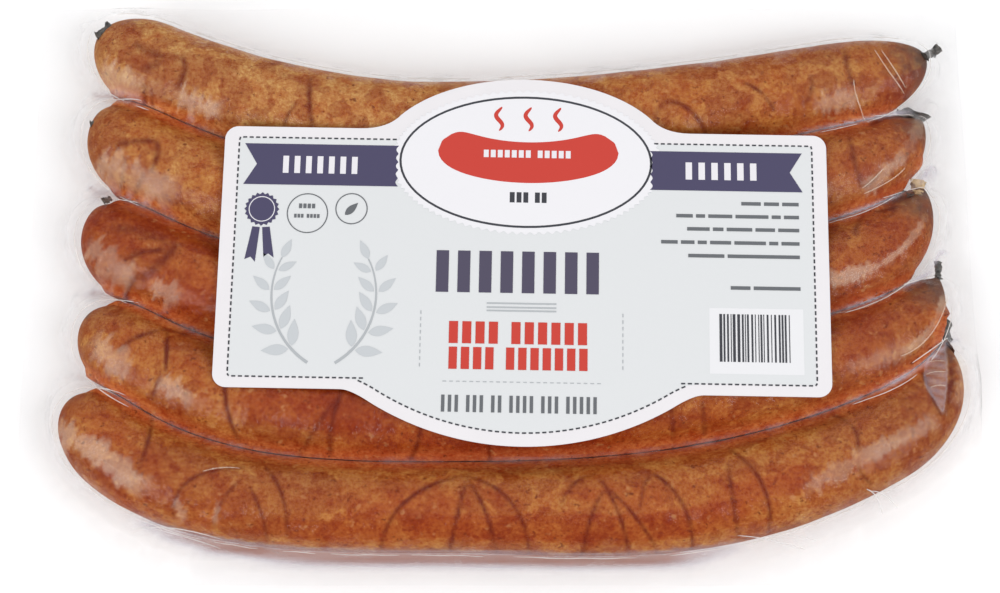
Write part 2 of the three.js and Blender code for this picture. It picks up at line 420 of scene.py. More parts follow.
def plain_finish(name, dark, light, size, roughness):
    """A dull finish that wavers between two colours in patches of a given size in millimetres."""
    made, add = material(name)
    place = add("TexCoord").outputs["Object"]
    cloud = add("TexNoise", {"Vector": place, "Scale": 1 / (size * MM), "Detail": 3})
    colour = ramp(add("ValToRGB", {"Fac": cloud}), [(0.35, dark), (0.65, light)])
    bump = add("Bump", {"Height": cloud, "Strength": 0.5, "Distance": 0.0003})
    surface = add("BsdfPrincipled", {"Base Color": colour, "Roughness": roughness, "Normal": bump})
    add("OutputMaterial", {"Surface": surface})
    return made


def clear_film():
    """Polyamide and polythene vacuum film: see-through, glossy and crinkled over the casing, with painted
    reflections of the lamps laid on as milky patches and white glints, lavender-grey where it is bunched or
    hangs free, and pinkish-grey under the last link, where juice lies behind it with painted shade laid in."""
    made, add = material("clear_film")
    place = add("TexCoord").outputs["Object"]
    haze_and_sheen, tint = [add("Attribute", attribute_name=name).outputs["Fac"] for name in ("haze_and_sheen", "tint")]
    crinkle = add("TexNoise", {"Vector": place, "Scale": 1 / (7.69 * MM), "Detail": 4, "Roughness": 0.6})
    bump = add("Bump", {"Height": crinkle, "Strength": 0.6, "Distance": 0.0015})
    facets = add("TexVoronoi", {"Vector": place, "Scale": 1 / (6.67 * MM)})
    spread = {0: facets.outputs["Color"], 1: (0.2, 0.2, 0.2), 2: (-0.1, -0.1, -0.1)}
    tilt = add("VectorMath", spread, operation="MULTIPLY_ADD")
    tilted = add("VectorMath", {0: bump, 1: tilt}, operation="ADD")
    normal = add("VectorMath", {0: tilted}, operation="NORMALIZE")
    facing = add("LayerWeight", {"Blend": 0.5, "Normal": normal}).outputs["Facing"]
    grazing = add("Math", {0: facing, 1: 5}, operation="POWER")
    mirror = add("Math", {0: grazing, 1: 0.7, 2: 0.013}, operation="MULTIPLY_ADD", use_clamp=True)
    clear = add("BsdfTransparent", {"Color": linear("#fefefe")})
    # Cream is the colour of the painted reflections over the casing
    milk_tints = [(0, "#ecd3b8"), (0.15, "#f3f0ee"), (0.5, "#c3bfca"), (1, "#986a5e")]
    milk = ramp(add("ValToRGB", {"Fac": tint}), milk_tints)
    milk_and_sheen = add("BsdfDiffuse", {"Color": milk, "Normal": normal})
    body = add("MixShader", {0: haze_and_sheen, 1: clear, 2: milk_and_sheen})
    gloss = add("BsdfGlossy", {"Color": (1, 1, 1, 1), "Roughness": 0.16, "Normal": normal})
    surface = add("MixShader", {0: mirror, 1: body, 2: gloss})
    add("OutputMaterial", {"Surface": surface})
    return made


# The links

LINK_TONES = [(0.33, 0.2, 0.09), (0.16, 0.1, 0.02), (0, 0.03, 0.02), (0.17, -0.14, 0.08), (0.08, 0.05, 0.1)]
TIP_GREY = [(4, 22), (3, 17), (3, 22), (3, 20), (2, 11)]  # reach of the gathered, grey casing from each tip
FOLD_DEPTH = 0.25
FOLD_WIDENING, FOLD_DARKENING = 1.25, 1.35

# Darker and paler stretches of each casing, partly its own smoke tone and partly painted shade and light:
# from where to where along it, from where to where across it on a scale from -1 to 1, and the change of tone
TONE_AND_SHADE_BANDS = [[
    # Painted shadow of the film at the lower right end of the first link
    (136, 152, -0.95, -0.35, -0.28),
    (86, 114, -0.8, -0.35, -0.1),
    (-122, -108, -0.9, -0.1, -0.06),
], [
    (-135, -117, 0.1, 0.9, -0.08),
], [
    (-136, -88, 0.5, 1, -0.14),
    (-118, -88, -0.9, -0.25, -0.1),
], [
    (-45, 45, -1, -0.4, -0.05),
    (-82, -40, -0.5, 0.4, -0.13),
    (-95, -45, -1, -0.55, 0.08),
    (108, 128, 0.35, 0.8, -0.08),
    (35, 105, -1, -0.1, 0.1),
], [
    (-30, 76, -0.74, -0.22, -0.11),
    (-84, -34, -0.8, -0.4, -0.05),
    (74, 103, -0.35, 0.1, -0.09),
    # Painted light along the underside of the last link, lifting its shade
    (-95, 110, -1, -0.78, 0.06),
    # Painted light on the last link's side towards its neighbour, lifting the shade of the valley
    (-110, 112, 0.35, 1, 0.06),
    (-140, -112, -0.1, 0.5, -0.06),
]]

# Folds of each casing: half width, how dark, and three points that each runs through
FOLDS = [[
    (1.2, 0.5, (-126, 80.5), (-118, 76.3), (-110, 75.7)),
    (1, 0.6, (-110, 75.7), (-108, 70.5), (-111, 63.5)),
    (1.2, 0.4, (-115, 74.8), (-119, 72), (-123.5, 70.9)),
    (0.8, 0.5, (-122, 66.5), (-122.5, 63), (-123, 59)),
    (0.7, 0.4, (-120, 65), (-120, 62.5), (-120, 59)),
    (0.8, 0.6, (-65, 69), (-65, 61), (-64, 50)),
    (0.6, 0.5, (-69, 59), (-72, 55), (-74, 50)),
    (0.7, 0.6, (57, 59), (64.5, 56.3), (71, 48)),
    (0.8, 0.45, (59, 59), (54.3, 56.8), (53, 51)),
    (0.6, 0.6, (83, 66), (89, 62.2), (94, 56)),
    (0.6, 0.4, (106, 69), (106.3, 63), (103, 58)),
    (0.8, 0.5, (119.2, 80), (119, 71.7), (121.4, 65)),
], [
    (1, 0.55, (-131, 43.5), (-123, 45), (-116.5, 44.9)),
    (0.9, 0.7, (-117, 45.5), (-116, 40.3), (-118, 34)),
    (0.7, 0.4, (-127, 39), (-128, 34.5), (-130, 30)),
    (0.7, 0.4, (-120.5, 34), (-122.6, 31), (-125, 28)),
    (0.8, 0.6, (119.2, 48), (119.9, 38.1), (122.7, 28.8)),
    (0.6, 0.5, (122, 29), (125.5, 31), (129, 34.5)),
    (0.9, 0.9, (127, 52.8), (135, 57), (142, 57.6)),
], [
    (0.9, 0.6, (-126, 3), (-118, 6.5), (-111, 6.4)),
    (1.2, 0.7, (-120.5, -2.8), (-112.5, 3.2), (-108, 10.5)),
    (0.9, 0.6, (-120.5, -1.5), (-125, -5.5), (-126, -10)),
    (1.8, 0.4, (-131, 15), (-120, 13.5), (-109, 9)),
    (0.8, 0.45, (125, 22), (121, 17.5), (119, 12)),
    (1.3, 0.7, (130, 24.5), (135, 27), (141, 28.5)),
    (0.7, 0.6, (126.5, 22.5), (131, 22.2), (135, 24)),
    (0.6, 0.5, (129, 19), (132, 20.2), (134, 22.5)),
], [
    (0.8, 0.55, (-126.5, -28.5), (-120.5, -23), (-112, -19.4)),
    (0.8, 0.5, (-114, -19.6), (-110, -19.3), (-103, -21)),
    (0.7, 0.65, (-111, -19), (-110, -27), (-110, -36)),
    (0.8, 0.5, (-110.5, -34), (-112.7, -38), (-115, -43)),
    (0.7, 0.65, (-90.4, -36), (-89.3, -47), (-86.3, -56)),
    (0.7, 0.7, (-51, -39), (-54.8, -50), (-55.9, -61.5)),
    (0.7, 0.45, (-53, -42.5), (-60.4, -53), (-66.6, -61)),
    (0.7, 0.6, (-25.7, -49), (-26.8, -57), (-30.2, -62.5)),
    (0.6, 0.6, (-4.1, -55), (-3.6, -59.5), (-3.2, -63)),
    (0.6, 0.5, (55.8, -44), (56.6, -51), (57.3, -56.5)),
    (0.6, 0.55, (66.3, -44), (67, -50), (67.9, -54.6)),
], [
    (0.55, 0.7, (-9.5, -67.6), (-29.5, -76), (-38.8, -92)),
    (0.6, 0.7, (-10.5, -68), (-13.5, -80.3), (-16.4, -92)),
    (0.55, 0.65, (-10.6, -69.5), (-5.2, -79), (-1, -93)),
    (0.55, 0.7, (-11, -68.3), (3.6, -77), (9.6, -93.8)),
    (0.55, 0.6, (-83, -65.5), (-100.5, -70), (-106.2, -82.5)),
    (0.5, 0.5, (-83.5, -69), (-89.5, -76.3), (-93.3, -85)),
    (0.5, 0.55, (-81, -72), (-77, -81), (-75.8, -89)),
    (0.55, 0.55, (-77, -65), (-70.4, -75), (-69, -88)),
    (0.7, 0.55, (-115.8, -48.5), (-115, -57.5), (-118.5, -69)),
    (0.6, 0.4, (32, -67.6), (23.6, -71.3), (19.6, -80)),
    (0.55, 0.65, (32, -68.5), (38, -80), (42.6, -95)),
    (0.5, 0.6, (35, -72.5), (43, -81), (52, -93)),
    (0.55, 0.6, (34, -73), (29.5, -81.5), (26.8, -94.5)),
    (0.6, 0.65, (48.5, -66.8), (58.3, -76.5), (63, -92)),
    (0.5, 0.4, (50, -67.5), (46.5, -72.5), (45.1, -81)),
    (0.6, 0.7, (75, -59.2), (84.8, -71), (88, -88)),
    (0.55, 0.55, (74.3, -64), (75.3, -76), (78.3, -90)),
    (0.6, 0.6, (109.5, -47.5), (115.5, -52.5), (116.3, -61)),
    (0.5, 0.45, (116.2, -64), (118, -68), (122, -71)),
    (1.3, 0.6, (151.7, -22.5), (148.9, -38), (145.5, -48.5)),
    (0.6, 0.9, (140.4, -32.5), (141.8, -41.5), (145.2, -48.6)),
]]


def link_rings(index):
    """Rings of a link's casing, uneven as filled by hand and flattened where a neighbour presses on it. Also
    how far along and across the link each point lies, and how closely a neighbour touches it."""
    link = LINKS[index]
    share = 1 - (1 - np.linspace(0, 1, RINGS // 2 + 1)) ** 1.3
    centre, r, full, sideways = link_spine(link, share)
    along = np.concatenate([[0], np.cumsum(np.linalg.norm(np.diff(centre, axis=0), axis=1))])
    turn = -math.pi / 2 + 2 * math.pi * np.arange(SIDES) / SIDES
    angle = turn + 0.4 * np.cos(turn)
    swell = noise_at(along, np.full(along.shape, 9.0 * index), 32, 1, 2.2)
    around_axis = [(3 * math.cos(a), 3 * math.sin(a) + 7 * index) for a in angle]
    lumps = np.array([[noise.noise(Vector((a / 11, b, c))) for b, c in around_axis] for a in along])
    half_width = np.maximum(r - CASING_GAP, 0) * (1 - 0.012 * (1 + swell))
    reach = half_width[:, None] * (1 - 0.012 * (1 + lumps))
    offset = reach * np.cos(angle)
    height = AXIS_HEIGHT + RISE / full[:, None] * reach * np.sin(angle)
    x = centre[:, :1] + sideways[:, :1] * offset
    y = centre[:, 1:] + sideways[:, 1:] * offset
    pressed = np.zeros(x.shape)
    touching = np.zeros(x.shape)
    for other in (index - 1, index + 1):
        if 0 <= other < len(LINKS):
            free = np.full(x.shape, 1e3)
            level = np.abs(np.cos(angle))
            for ball_x, ball_y, ball_r, _ in BALLS[other]:
                free = np.minimum(free, np.hypot(x - ball_x, y - ball_y) - ball_r * level)
            push = np.clip(LINK_GAP - free, -2.5, 5) * clamp(2 - free / 2) / 2 * np.sign(offset)
            x = x - sideways[:, :1] * push
            y = y - sideways[:, 1:] * push
            pressed = np.maximum(pressed, clamp(1.5 - free / 3))
            touching = np.maximum(touching, clamp(1.5 - free / 5.5))
    under_film = film_height(x, y) - CASING_GAP
    rise = np.clip(under_film - height, 0, 4) * pressed * (np.sin(angle) > -0.05)
    rings = np.stack([x, y, np.maximum(height + rise, 0.3)], 2)
    return rings, along, np.cos(angle), touching


def fold_marks(index, rings):
    """How strongly the folds of the casing mark each point of a link."""
    points = rings.reshape(-1, 3)
    upper_side = np.where(points[:, 2:] > AXIS_HEIGHT - 5, points[:, :2], 1e3)
    marks = np.zeros(len(points))
    for half_width, strength, *path in FOLDS[index]:
        width = FOLD_WIDENING * half_width
        close, distance, share = near_line(upper_side, bent_line(path), 3 * width)
        fade = np.sin(math.pi * share) ** 0.3
        dark = FOLD_DARKENING * strength * np.exp(-(distance / width) ** 2) * fade
        marks[close] = np.maximum(marks[close], dark)
    return marks.reshape(rings.shape[:2])


def make_links():
    casing = smoked_casing()
    for index, (tones, greys) in enumerate(zip(LINK_TONES, TIP_GREY)):
        rings, along, across, touching = link_rings(index)
        x, y, _ = rings.transpose(2, 0, 1)
        torn = torn_noise(x, y, 1.7)
        # Painted contact shade: the tone drops where a neighbour touches
        tone_and_shade = 0.09 + np.interp(along / along[-1], [0, 0.5, 1], tones)[:, None] - 0.08 * touching
        for x_from, x_to, low, high, change in TONE_AND_SHADE_BANDS[index]:
            along_it = clamp(0.5 + np.minimum(x - x_from, x_to - x) / 10 + 0.5 * torn)
            inside = np.minimum(across - low, high - across)
            tone_and_shade = tone_and_shade + change * along_it * clamp(0.5 + inside / 0.06 + 1.2 * torn)
        gathered = np.zeros(x.shape)
        for (tip_x, tip_y), grey in zip((rings[0, 0, :2], rings[-1, 0, :2]), greys):
            away = np.hypot(x - tip_x, y - tip_y) / grey
            gathered = np.maximum(gathered, np.clip(1 - away + 0.2 * torn, 0, 0.85))
        gathered = np.maximum(gathered, 0.1 * clamp((x - 95) / 20))
        fold = np.clip(fold_marks(index, rings) * (1 + 0.6 * torn), 0, 0.95)
        rings[..., 2] -= FOLD_DEPTH * fold
        piece = tube_piece(f"link_{index + 1}", rings)
        looks = {"tone_and_shade": tone_and_shade, "fold": fold, "gathered": gathered, "painted_valley_light": 0.5 * touching}
        for name, values in looks.items():
            set_values(piece, name, around(values))
        finish_piece(piece, casing, merge=0.02)


# Tied ends: where each starts, which way it heads, how long and thick it is, and how it turns and waves
Tie = namedtuple("Tie", "name x y heading length neck end turn wave")
TIES = [
    Tie("right_1", 147.9, 78.6, 38, 9.6, 1.3, 1.7, 0, 0.2),
    Tie("right_2", 148, 57, 105, 11, 2.3, 1.8, -75, 0.7),
    Tie("right_3", 140.5, 27.8, 110, 4.5, 1.4, 1.3, -40, 0.5),
    Tie("right_4", 149.4, -0.2, 84, 7, 1, 1.3, 0, 0.1),
    Tie("right_5", 152, -22.5, 128, 11, 1.3, 1.1, 25, 1.3),
    Tie("left_1", -141.2, 85.8, 28, 7, 1.1, 1.7, -15, 0.5),
    Tie("left_2", -141.5, 53.8, 10, 4, 0.8, 1, 0, 0.3),
    Tie("left_3", -135.9, 26.2, 35, 3.2, 1.2, 0.8, 0, 0.3),
]
FAT_END = Tie("fat_3", 143.8, 28.5, 78, 7.5, 2.2, 2.6, 0, 0.3)


def make_tied_ends():
    """Twisted ends of the casings, pinched at the neck and flared or bent over at the cut. One is fat."""
    dried = plain_finish("dried_casing", "#1c1a19", "#5a554f", 1.6, 0.4)
    fat = plain_finish("fat_in_casing", "#a5875c", "#cdb084", 2, 0.45)
    sides = 12
    angle = 2 * math.pi * np.arange(sides) / sides
    for seed, tie in enumerate(TIES + [FAT_END]):
        along = np.linspace(0, 1, 22)
        heading = np.radians(tie.heading - tie.turn * clamp(2 * along))
        step = tie.length / 21
        x = tie.x + np.concatenate([[0], np.cumsum(np.cos(heading[1:]) * step)])
        y = tie.y + np.concatenate([[0], np.cumsum(np.sin(heading[1:]) * step)])
        sway = tie.wave * np.sin(9 * along) * along
        radius = tie.neck + (tie.end - tie.neck) * along ** 2 + 0.8 * clamp(1 - 7 * along)
        radius = radius * (1 + 0.18 * noise_at(along, along * 0 + seed, 0.12, 1, 4.4))
        z = np.minimum(film_height(x, y) - CASING_GAP - radius, AXIS_HEIGHT + 6)
        radius[[0, -1]] = 0
        pleat = 1 + 0.22 * np.cos(4 * (angle + 3 * along[:, None]))
        across = sway[:, None] + radius[:, None] * pleat * np.cos(angle)
        up = radius[:, None] * pleat * np.sin(angle) * (1 - 0.5 * along[:, None])
        left, forward = np.cos(heading)[:, None], np.sin(heading)[:, None]
        rings = np.stack([x[:, None] - forward * across, y[:, None] + left * across, z[:, None] + up], 2)
        finish = fat if tie is FAT_END else dried
        finish_piece(tube_piece(f"tied_end_{tie.name}", rings), finish, merge=0.02)


# The film

# Painted lamp reflections on the film, laid on as milky bands: half width, how milky, and three points
PAINTED_SHEEN = [
    (5.5, 0.28, (-139, 73.5), (-131, 67), (-122.5, 63)),
    (4, 0.38, (-111, 62), (-105, 59.5), (-94, 56)),
    (6, 0.3, (-138, 40), (-128, 34), (-107, 27)),
    (5, 0.27, (-139, 11.5), (-131, 3), (-121, -2.5)),
    (4, 0.28, (-116, -4.5), (-112, -7), (-106, -10)),
    (5, 0.24, (-135, -22), (-127, -30), (-121, -34)),
    (3.5, 0.3, (-112, -36), (-107, -40), (-100, -44)),
    (4.5, 0.3, (-148, -51), (-132, -60.5), (-113, -74)),
    (2, 0.2, (-105, -76), (-104, -79), (-102, -83)),
    (1.2, 0.28, (-91, -77), (-91.5, -80), (-92.5, -84)),
    (3.2, 0.22, (107, 58.5), (115.5, 59.5), (123, 59.8)),
    (2.4, 0.3, (121.5, 27.8), (131, 34.5), (138.5, 43)),
    (2.6, 0.16, (136, 40), (141.5, 47), (145, 56.5)),
    (2.8, 0.3, (106, -4.5), (115, -2.3), (126, 2.2)),
    (1.4, 0.28, (121, -0.5), (134, 7), (144, 20)),
    (1.6, 0.36, (131, -28.5), (142, -20.5), (150, -6)),
    (2.6, 0.15, (112, -33.5), (123, -30.7), (133, -29)),
    (3, 0.25, (97, -73.5), (120, -61.5), (144, -49)),
    (2.4, 0.18, (152.5, -26), (153.5, -36), (150, -46)),
]

# Sharp ridges where the film was gathered, painted white as glints, as three points each
CREASES = [
    [(129, 78.8), (133.2, 70.8), (139.8, 64)],
    [(131.4, 78.8), (135, 72.1), (139.9, 65.8)],
    [(120.9, 67), (122.2, 61), (126.8, 54.2)],
    [(122.5, 29), (126, 31.8), (130, 35.8)],
    [(132, -29), (142.7, -21.6), (150.4, -7.5)],
    [(112, -13), (121, -11.8), (128, -8.6)],
    [(127, -9), (135, -4.2), (141, 0.8)],
    [(123, 27.3), (132.4, 32.2), (138, 37)],
    [(-123, -84.4), (-107.7, -84.6), (-90, -88.6)],
    [(-117, -83.7), (-101, -88), (-92, -91)],
    [(-96.5, -67.2), (-90.5, -65.8), (-84.5, -66)],
    [(77, -87.3), (90, -88.3), (102, -90.8)],
    [(84, -88), (95, -86.8), (105.5, -87.8)],
    [(119.5, -72.3), (125, -74.8), (128, -79)],
    [(121.5, -72.8), (128.4, -73.7), (133.2, -77)],
    [(142.5, -30), (145, -29.6), (148, -29.8)],
    [(141, -34.6), (144, -33.7), (147.6, -33.8)],
    [(141.5, -39.4), (144, -38.6), (147, -38.8)],
]


def laid_line(path, half_width, haze_and_sheen, tint):
    """A thin flat strand laid along the film's shape, tapering to nothing at both ends."""
    path = np.asarray(path, float)
    x, y = path.T
    step = 0.4
    slope_x = (film_height(x + step, y) - film_height(x - step, y)) / (2 * step)
    slope_y = (film_height(x, y + step) - film_height(x, y - step)) / (2 * step)
    normal = np.stack([-slope_x, -slope_y, np.ones(len(x))], 1)
    normal /= np.linalg.norm(normal, axis=1)[:, None]
    spot = np.stack([x, y, film_height(x, y)], 1) + normal * 0.05
    way = np.gradient(spot, axis=0)
    side = np.cross(way / np.linalg.norm(way, axis=1)[:, None], normal)
    full = np.sin(np.linspace(0, math.pi, len(x))) ** 0.35
    full[[0, -1]] = 0
    full = full * (1 + 0.5 * noise_at(np.linspace(0, 9, len(x)), x, 1, 50, 6.1))
    angle = 2 * math.pi * np.arange(8) / 8
    width = (half_width * full)[:, None, None] * np.cos(angle)[:, None]
    height = (0.13 * full)[:, None, None] * np.sin(angle)[:, None]
    strand = tube_piece("strand", spot[:, None] + side[:, None] * width + normal[:, None] * height)
    for name, value in (("haze_and_sheen", haze_and_sheen), ("tint", tint)):
        set_values(strand, name, np.full(len(strand.data.vertices), value))
    return strand


def edge_path(link, share, side, out):
    """Points beside a link, at shares of its length from left to right, on its upper or lower side."""
    centre, r, _, sideways = link_spine(link, np.linspace(0, 1, 120))
    place = np.asarray(share) * (len(r) - 1)
    index = np.arange(len(r))
    path = centre + sideways * (side * (r + out))[:, None]
    return np.stack([np.interp(place, index, path[:, k]) for k in (0, 1)], 1)


def rim_glint_paths():
    """Broken lines of painted highlight where the film comes off the casing: round the ends, over the first
    link, under the last. Lengths and gaps are drawn at random."""
    rims = []
    for link in LINKS:
        for tip, upper_end, lower_end in ((0, 0.06, 0.12), (1, 0.95, 0.87)):
            upper = edge_path(link, np.linspace(upper_end, tip, 30), 1, 0.3)
            lower = edge_path(link, np.linspace(tip, lower_end, 50), -1, 0.3)
            rims.append(np.concatenate([upper, lower]))
    rims.append(edge_path(LINKS[0], np.linspace(0.06, 0.95, 300), 1, 0.2))
    rims.append(edge_path(LINKS[-1], np.linspace(0.12, 0.87, 260), -1, 0.2))
    broken = []
    for rim in rims:
        start = random.randint(0, 6)
        while start < len(rim) - 8:
            length = random.randint(12, 45)
            stray = 0.25 * noise_at(rim[:, 0], rim[:, 1], 7, 7, len(broken) + 0.5)
            broken.append((rim + stray[:, None])[start:start + length])
            start += length + random.randint(1, 8)
    return [part for part in broken if len(part) > 6]


def make_creases_and_glints():
    """Sharp ridges in the film where it was gathered, and lines along its rims, painted white as glints."""
    strands = []
    for crease in CREASES:
        path = bent_line(crease, 26)
        loose = film_shape(*path.T).outside.mean() > 0
        strands.append(laid_line(path, 0.25, 0.4 if loose else 0.25, 0.15 if loose else 0.03))
    for rim in rim_glint_paths():
        # Rims: thin milky strands that paint the highlight where the film leaves the casing
        strands.append(laid_line(rim, random.uniform(0.12, 0.3), 0.5, 0.13))
    return join_pieces("film_creases_and_glints", strands)


def film_look(x, y, shape):
    """How milky the film is, with painted lamp reflections, glints and shade laid in as milkiness, and its
    tint from white through lavender-grey to the pink of juice and painted shade.
    """
    patchy = clamp(0.5 + noise_at(x, y, 14, 9, 5.7))
    torn = torn_noise(x, y, 1.7)
    milk_and_sheen = np.zeros(x.size)
    points = np.stack([x.ravel(), y.ravel()], 1)
    # Painted reflections of the soft lamps, as ragged milky bands over the casing
    for half_width, strength, *path in PAINTED_SHEEN:
        close, distance, share = near_line(points, bent_line(path), 2 * half_width)
        pleats = noise_at(share * np.ptp(path, 0).sum(), distance, max(1.3, half_width / 2), 9, strength)
        edge = 2 * (1 - distance / half_width)
        ragged = clamp(edge + 0.9 * torn.ravel()[close] + 1.4 * pleats)
        fade = clamp(7 * np.minimum(share, 1 - share))
        milk_and_sheen[close] = np.maximum(milk_and_sheen[close], strength * ragged * fade)
    milk_and_sheen = milk_and_sheen.reshape(x.shape) * (0.55 + 0.45 * patchy) * (shape.outside < -0.5)

    # The milky line along each valley is partly film bunched there and partly painted reflection of the
    # overhead lamp
    valley = shape.valley * np.clip(0.35 * patchy + 0.25 * torn + np.clip((x - 90) / 100, 0, 0.3), 0.04, 0.6)
    apron = clamp((shape.outside + 0.6) / 0.6) * (1 - shape.flat)
    near_end = np.clip((x - 105) / 20, 0, 0.6) + np.clip((-105 - x) / 20, 0, 0.5)
    below_last = clamp((np.interp(x, *SPINES[-1]) - y) / 6 - 1.4)
    middle = clamp((x + 125) / 30) * clamp((85 - x) / 30)
    # Pinkish-grey band under the last link: juice behind the film, with painted shade of the link laid in
    near_edge_band = clamp((shape.outside + 1.5) / 1.2) * clamp((4.3 - shape.outside) / 2.5)
    juice_and_shade = near_edge_band * below_last * middle * (1 - shape.flat)
    web = inside_outline(x, y, WEB) * (0.8 + 0.2 * np.sin(1.9 * (y + 0.3 * x)))
    hanging = apron * (0.04 + 0.08 * patchy + 0.22 * near_end * clamp((3 - shape.outside) / 2))
    haze_and_sheen = 0.002 + milk_and_sheen + valley + hanging + 0.65 * juice_and_shade + 0.5 * web + 0.012 * shape.flat
    valley_tint = shape.valley ** 0.3 * np.clip(0.95 - (x - 80) / 100, 0.6, 0.95)
    tint = np.max([0.15 * shape.flat, valley_tint, 0.25 * apron, np.sqrt(juice_and_shade), web], 0)
    for tie in TIES[:6] + [FAT_END]:
        way = math.radians(tie.heading)
        middle_x = tie.x + math.cos(way) * tie.length / 2
        middle_y = tie.y + math.sin(way) * tie.length / 2
        reach = max(6, 0.8 * tie.length)
        haze_and_sheen = haze_and_sheen * np.clip(np.hypot(x - middle_x, y - middle_y) / reach, 0.15, 1)
    return np.clip(haze_and_sheen, 0, 0.8), tint


# Columns of the film's grid lie closest over the ends of the links: how many lie left of each place
FILM_COLUMNS = [(-164, 0), (-152, 10), (-76, 118), (100, 252), (153, 358), (164, 364)]
FILM_ROWS = 228


def film_sheet(name, columns, rows, upper_side):
    """One sheet of film on a grid with columns at the places x and rows from edge to edge."""
    piece = grid_piece(name, len(columns) - 1, rows)
    x = np.tile(columns, (rows + 1, 1))
    y = np.tile(np.linspace(-BAG_DEPTH / 2, BAG_DEPTH / 2, rows + 1)[:, None], (1, len(columns)))
    shape = film_shape(x, y)
    set_points(piece, np.stack([x, y, shape.upper if upper_side else shape.lower], 2))
    for name, values in zip(("haze_and_sheen", "tint"), film_look(x, y, shape)):
        set_values(piece, name, values)
    return piece


def make_film():
    places, counts = np.array(FILM_COLUMNS, float).T
    upper = film_sheet("film", np.interp(np.arange(counts[-1] + 1), counts, places), FILM_ROWS, True)
    lower = film_sheet("film_under", np.linspace(places[0], places[-1], 83), 52, False)
    join_pieces("film", [upper, lower])
    bpy.ops.object.mode_set(mode="EDIT")
    bpy.ops.mesh.select_mode(type="EDGE")
    bpy.ops.mesh.select_all(action="DESELECT")
    bpy.ops.mesh.select_non_manifold(
        extend=False, use_wire=False, use_multi_face=False, use_non_contiguous=False, use_verts=False
    )
    bpy.ops.mesh.bridge_edge_loops()
    bpy.ops.object.mode_set(mode="OBJECT")
    finish = clear_film()
    upper.visible_shadow = False
    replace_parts(finish_piece(upper, finish), "pack")
    finish_piece(make_creases_and_glints(), finish, merge=0.005)


# The label and its print

def on_label(points, height):
    """Points of the label's own plane at a height, in the pack's frame."""
    points = np.asarray(points, float)
    c, s = math.cos(LABEL_TURN), math.sin(LABEL_TURN)
    x = LABEL_CENTRE[0] + points[:, 0] * c - points[:, 1] * s
    y = LABEL_CENTRE[1] + points[:, 0] * s + points[:, 1] * c
    return np.stack([x, y, np.full(len(points), height)], 1)


def arc(centre_x, centre_y, radius_x, radius_y, start, end, steps):
    angle = np.radians(np.linspace(start, end, steps + 1))
    return [(centre_x + radius_x * math.cos(a), centre_y + radius_y * math.sin(a)) for a in angle]


def label_outline(inset=0.0):
    """The die-cut outline, counter-clockwise from the left end of its lower edge."""
    x, y, r = LABEL_WIDTH / 2 - inset, LABEL_DEPTH / 2 - inset, max(LABEL_CORNER - inset, 0.3)
    arc_radius = (ARC_HALF_WIDTH ** 2 + ARC_DROP ** 2) / (2 * ARC_DROP)
    arc_y = -LABEL_DEPTH / 2 - ARC_DROP + arc_radius
    arc_radius -= inset
    arc_start = math.degrees(math.asin((ARC_HALF_WIDTH - ARC_BLEND) / arc_radius))
    left_foot = arc(0, arc_y, arc_radius, arc_radius, 270 - arc_start, 270, 1)[0]
    half_width, half_depth = OVAL_HALF_WIDTH - inset, OVAL_HALF_DEPTH - inset
    foot = half_width * math.sqrt(1 - ((y - OVAL_Y) / half_depth) ** 2)
    start = math.degrees(math.acos((foot - OVAL_BLEND / 2) / half_width))
    oval = arc(0, OVAL_Y, half_width, half_depth, start, 180 - start, 40)
    return (
        [(-x + r, -y)]
        + bend((-ARC_HALF_WIDTH - ARC_BLEND / 2, -y), (-ARC_HALF_WIDTH, -y), left_foot)
        + arc(0, arc_y, arc_radius, arc_radius, 270 - arc_start, 270 + arc_start, 40)[1:-1]
        + bend((-left_foot[0], left_foot[1]), (ARC_HALF_WIDTH, -y), (ARC_HALF_WIDTH + ARC_BLEND / 2, -y))
        + arc(x - r, -y + r, r, r, 270, 360, 8)
        + arc(x - r, y - r, r, r, 0, 90, 8)
        + bend((foot + OVAL_BLEND, y), (foot, y), oval[0])
        + oval[1:-1]
        + bend(oval[-1], (-foot, y), (-foot - OVAL_BLEND, y))
        + arc(-x + r, y - r, r, r, 90, 180, 8)
        + arc(-x + r, -y + r, r, r, 180, 270, 8)[:-1]
    )


def flat_piece(name, outlines, height, thickness, finish):
    """Flat shapes of one thickness, standing on a height over the label's plane."""
    deselect()
    bpy.ops.mesh.primitive_circle_add(vertices=len(outlines[0]), fill_type="NGON")
    piece = bpy.context.object
    piece.name = piece.data.name = name
    bpy.ops.object.mode_set(mode="EDIT")
    for outline in outlines[1:]:
        bpy.ops.mesh.primitive_circle_add(vertices=len(outline), fill_type="NGON")
    bpy.ops.object.mode_set(mode="OBJECT")
    set_points(piece, np.concatenate([on_label(outline, height) for outline in outlines]))
    bpy.ops.object.mode_set(mode="EDIT")
    bpy.ops.mesh.select_all(action="SELECT")
    bpy.ops.mesh.extrude_region_move(TRANSFORM_OT_translate={"value": (0, 0, thickness * MM)})
    bpy.ops.object.mode_set(mode="OBJECT")
    return finish_piece(piece, finish)


def bar(x, y, width, height):
    return [(x, y), (x + width, y), (x + width, y + height), (x, y + height)]


def band(centre_x, centre_y, radius_x, radius_y, width):
    """An oval ring, as two half rings."""
    halves = []
    for start in (0, 180):
        outer = arc(centre_x, centre_y, radius_x, radius_y, start, start + 180, 36)
        inner = arc(centre_x, centre_y, radius_x - width, radius_y - width, start + 180, start, 36)
        halves.append(outer + inner)
    return halves


def wavy_oval(centre_x, centre_y, radius_x, radius_y, wave, waves, steps):
    """An oval with waves of a given height along its edge."""
    outline = []
    for a in np.linspace(0, 2 * math.pi, steps + 1)[:-1]:
        out = wave * math.cos(waves * a)
        outline.append((centre_x + (radius_x + out) * math.cos(a), centre_y + (radius_y + out) * math.sin(a)))
    return outline


